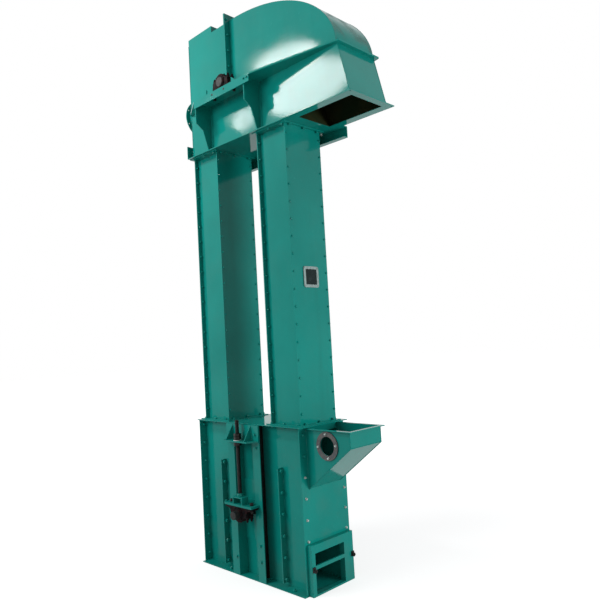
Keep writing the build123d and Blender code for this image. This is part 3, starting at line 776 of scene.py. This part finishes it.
def hopper_welds(shape):
    top = 1.090
    for side in both:
        y = side * hopper_face
        corner = (hopper_end, y, hopper_knee)
        add_bead(shape, [(boot_end, y, top), (boot_end, y, hopper_foot)])
        add_bead(shape, [(boot_end, y, hopper_foot), corner, (hopper_end, y, top)], fine_bead)
    add_bead(shape, [(boot_end, -hopper_face, hopper_foot), (boot_end, hopper_face, hopper_foot)])
    knee = [(hopper_end, y, hopper_knee) for y in (-hopper_face, hopper_face)]
    add_bead(shape, knee, fine_bead)


def cap_curve(inset, count):
    """Points along the hood's curve, from its top down to the flange."""
    points = []
    for index in range(count + 1):
        angle = math.radians(90 - 88.1 * index / count)
        x = (cap_reach - inset) * math.cos(angle)
        points.append((x, cap_centre + (cap_rise - inset) * math.sin(angle)))
    return points


def head_welds(shape):
    edge = head_face - 0.003
    for side in both:
        y = side * head_face
        add_bead(shape, [(-head_left, y, head_bottom), (1.155, y, head_bottom)], fine_bead)
        add_bead(shape, [(1.157, side * edge, head_bottom), (1.073, side * edge, split_low)], fine_bead)
        add_bead(shape, [(-head_left, y, head_bottom), (-head_left, y, hood_top)], fine_bead)
        add_bead(shape, [(x, side * edge, z) for x, z in cap_curve(0.001, 36)], fine_bead)
        add_bead(shape, [(0.008, y, split_top), (1.060, y, split_top)], fine_bead)


def rib_welds(shape):
    """Short runs of weld beside the ribs and the guides."""
    run = 0.045
    guide_line = 0.1115
    for side in both:
        y = side * boot_face
        for rib in rib_places:
            for x in (rib - rib_half, rib + rib_half):
                for z in spaced(0.095, 0.700, 0.148):
                    add_bead(shape, [(x, y, z), (x, y, z + run)], fine_bead)
        for x in (-guide_line, guide_line):
            for z in spaced(0.050, 1.000, 0.16):
                add_bead(shape, [(x, y, z), (x, y, z + run)], fine_bead)


def vent_weld(shape):
    radius = 0.136
    ring = []
    for index in range(49):
        angle = 2 * math.pi * index / 48
        y = radius * math.cos(angle)
        ring.append((-head_left - 0.0005, y, vent_height + radius * math.sin(angle)))
    add_bead(shape, ring)


def gusset_feet():
    thickness = 0.004
    shape = bmesh.new()
    for side in both:
        low, high = sorted((side * head_face, side * (head_face + thickness)))
        for x in gusset_places:
            add_block(shape, (x + gusset_half, low, 3.254), (x + gusset_half + 0.022, high, 3.520))
    mesh_object("gusset_feet", shape, "green_paint")


def welds():
    fixed = bmesh.new()
    moving = bmesh.new()
    gusset_welds(fixed)
    take_up_welds(fixed, moving)
    hopper_welds(fixed)
    head_welds(fixed)
    rib_welds(fixed)
    vent_weld(fixed)
    mesh_object("casing_welds", fixed, "green_paint")
    mesh_object("take_up_welds", moving, "green_paint", "take_up")
    gusset_feet()


def clamp_details():
    """Turned knobs on the clamps of the cleanout."""
    shape = bmesh.new()
    for side in both:
        where = axis_frame((0.616, side * 0.196, 0.1715), (1, 0, 0))
        add_rings(shape, where, [(0, 0.008), (0.003, 0.008), (0.004, 0.006)], 20)
        add_rings(shape, where, [(0.003, 0.012), (0.005, 0.014), (0.009, 0.014), (0.011, 0.012)], 8)
        add_rings(shape, where, [(0.010, 0.005), (0.015, 0.005), (0.016, 0.004)], 14)
    mesh_object("cleanout_knobs", shape, "dark_steel")


# Stage
def only_seen_rays(tree):
    """1 for camera, glossy and transmission rays, and 0 for the rays that light the object."""
    path = tree.nodes.new("ShaderNodeLightPath")
    seen = path.outputs["Is Camera Ray"]
    for name in ("Is Glossy Ray", "Is Transmission Ray"):
        either = tree.nodes.new("ShaderNodeMath")
        either.operation = "MAXIMUM"
        tree.links.new(seen, either.inputs[0])
        tree.links.new(path.outputs[name], either.inputs[1])
        seen = either.outputs["Value"]
    return seen


def world_light(strength):
    world = bpy.data.worlds.new("world")
    bpy.context.scene.world = world
    world.use_nodes = True
    tree = world.node_tree
    tree.nodes.clear()
    light = tree.nodes.new("ShaderNodeBackground")
    light.inputs["Color"].default_value = (0.95, 0.98, 1.0, 1.0)
    light.inputs["Strength"].default_value = strength
    white = tree.nodes.new("ShaderNodeBackground")
    white.inputs["Color"].default_value = (1.0, 1.0, 1.0, 1.0)
    white.inputs["Strength"].default_value = 1.0
    mix = tree.nodes.new("ShaderNodeMixShader")
    tree.links.new(only_seen_rays(tree), mix.inputs["Fac"])
    tree.links.new(light.outputs["Background"], mix.inputs[1])
    tree.links.new(white.outputs["Background"], mix.inputs[2])
    out = tree.nodes.new("ShaderNodeOutputWorld")
    tree.links.new(mix.outputs["Shader"], out.inputs["Surface"])


def floor(glow, near, far):
    """Pale floor whose own white grows from near to far, so that it meets the backdrop without an edge."""
    shape = bmesh.new()
    bmesh.ops.create_grid(shape, x_segments=1, y_segments=1, size=40.0)
    mesh = bpy.data.meshes.new("floor")
    shape.to_mesh(mesh)
    shape.free()
    made = bpy.data.objects.new("floor", mesh)
    bpy.context.collection.objects.link(made)
    material = bpy.data.materials.new("floor")
    material.use_nodes = True
    tree = material.node_tree
    surface = tree.nodes["Principled BSDF"]
    surface.inputs["Base Color"].default_value = (0.50, 0.50, 0.50, 1.0)
    surface.inputs["Roughness"].default_value = 0.9
    surface.inputs["Specular IOR Level"].default_value = 0.0
    surface.inputs["Emission Color"].default_value = (1.0, 1.0, 1.0, 1.0)
    away = tree.nodes.new("ShaderNodeVectorMath")
    away.operation = "LENGTH"
    tree.links.new(tree.nodes.new("ShaderNodeTexCoord").outputs["Object"], away.inputs[0])
    white = tree.nodes.new("ShaderNodeMapRange")
    white.interpolation_type = "SMOOTHSTEP"
    for name, value in (("From Min", near), ("From Max", far), ("To Min", glow), ("To Max", 1.0)):
        white.inputs[name].default_value = value
    tree.links.new(away.outputs["Value"], white.inputs["Value"])
    strength = tree.nodes.new("ShaderNodeMath")
    strength.operation = "MULTIPLY"
    tree.links.new(white.outputs["Result"], strength.inputs[1])
    tree.links.new(only_seen_rays(tree), strength.inputs[0])
    tree.links.new(strength.outputs["Value"], surface.inputs["Emission Strength"])
    made.data.materials.append(material)


def softbox(name, place, target, size, power, spin=0.0):
    data = bpy.data.lights.new(name, "AREA")
    data.shape = "ELLIPSE"
    data.size, data.size_y = size
    data.energy = power
    lamp = bpy.data.objects.new(name, data)
    direction = Vector(target) - Vector(place)
    aim = direction.to_track_quat("-Z", "Y").to_matrix().to_4x4()
    lamp.matrix_world = Matrix.Translation(Vector(place)) @ aim @ Matrix.Rotation(math.radians(spin), 4, "Z")
    bpy.context.collection.objects.link(lamp)


bpy.context.scene.view_settings.view_transform = "Standard"
make_camera()
world_light(0.36)
floor(0.74, 1.5, 6.0)
softbox("hood_softbox", (-2.47, -3.3, 5.72), (-2.47, 0.0, 5.72), (1.32, 0.45), 48.0, -9.0)
softbox("face_softbox", (-2.10, -3.3, 5.20), (-2.10, 0.0, 5.20), (1.60, 0.66), 76.0)
softbox("left_softbox", (-3.47, -3.3, 5.18), (-3.47, 0.0, 5.18), (0.50, 0.34), 11.0)
softbox("fill_softbox", (-1.5, -5.5, 3.5), (0.2, 0.0, 2.4), (3.0, 2.5), 105.0)
softbox("side_softbox", (5.2, 1.5, 1.4), (0.5, 0.0, 1.6), (2.5, 2.0), 115.0)
dress_nodes()
boot_bolts()
leg_bolts()
hood_bolts()
port_and_window_screws()
take_up_details()
bearings()
welds()
clamp_details()
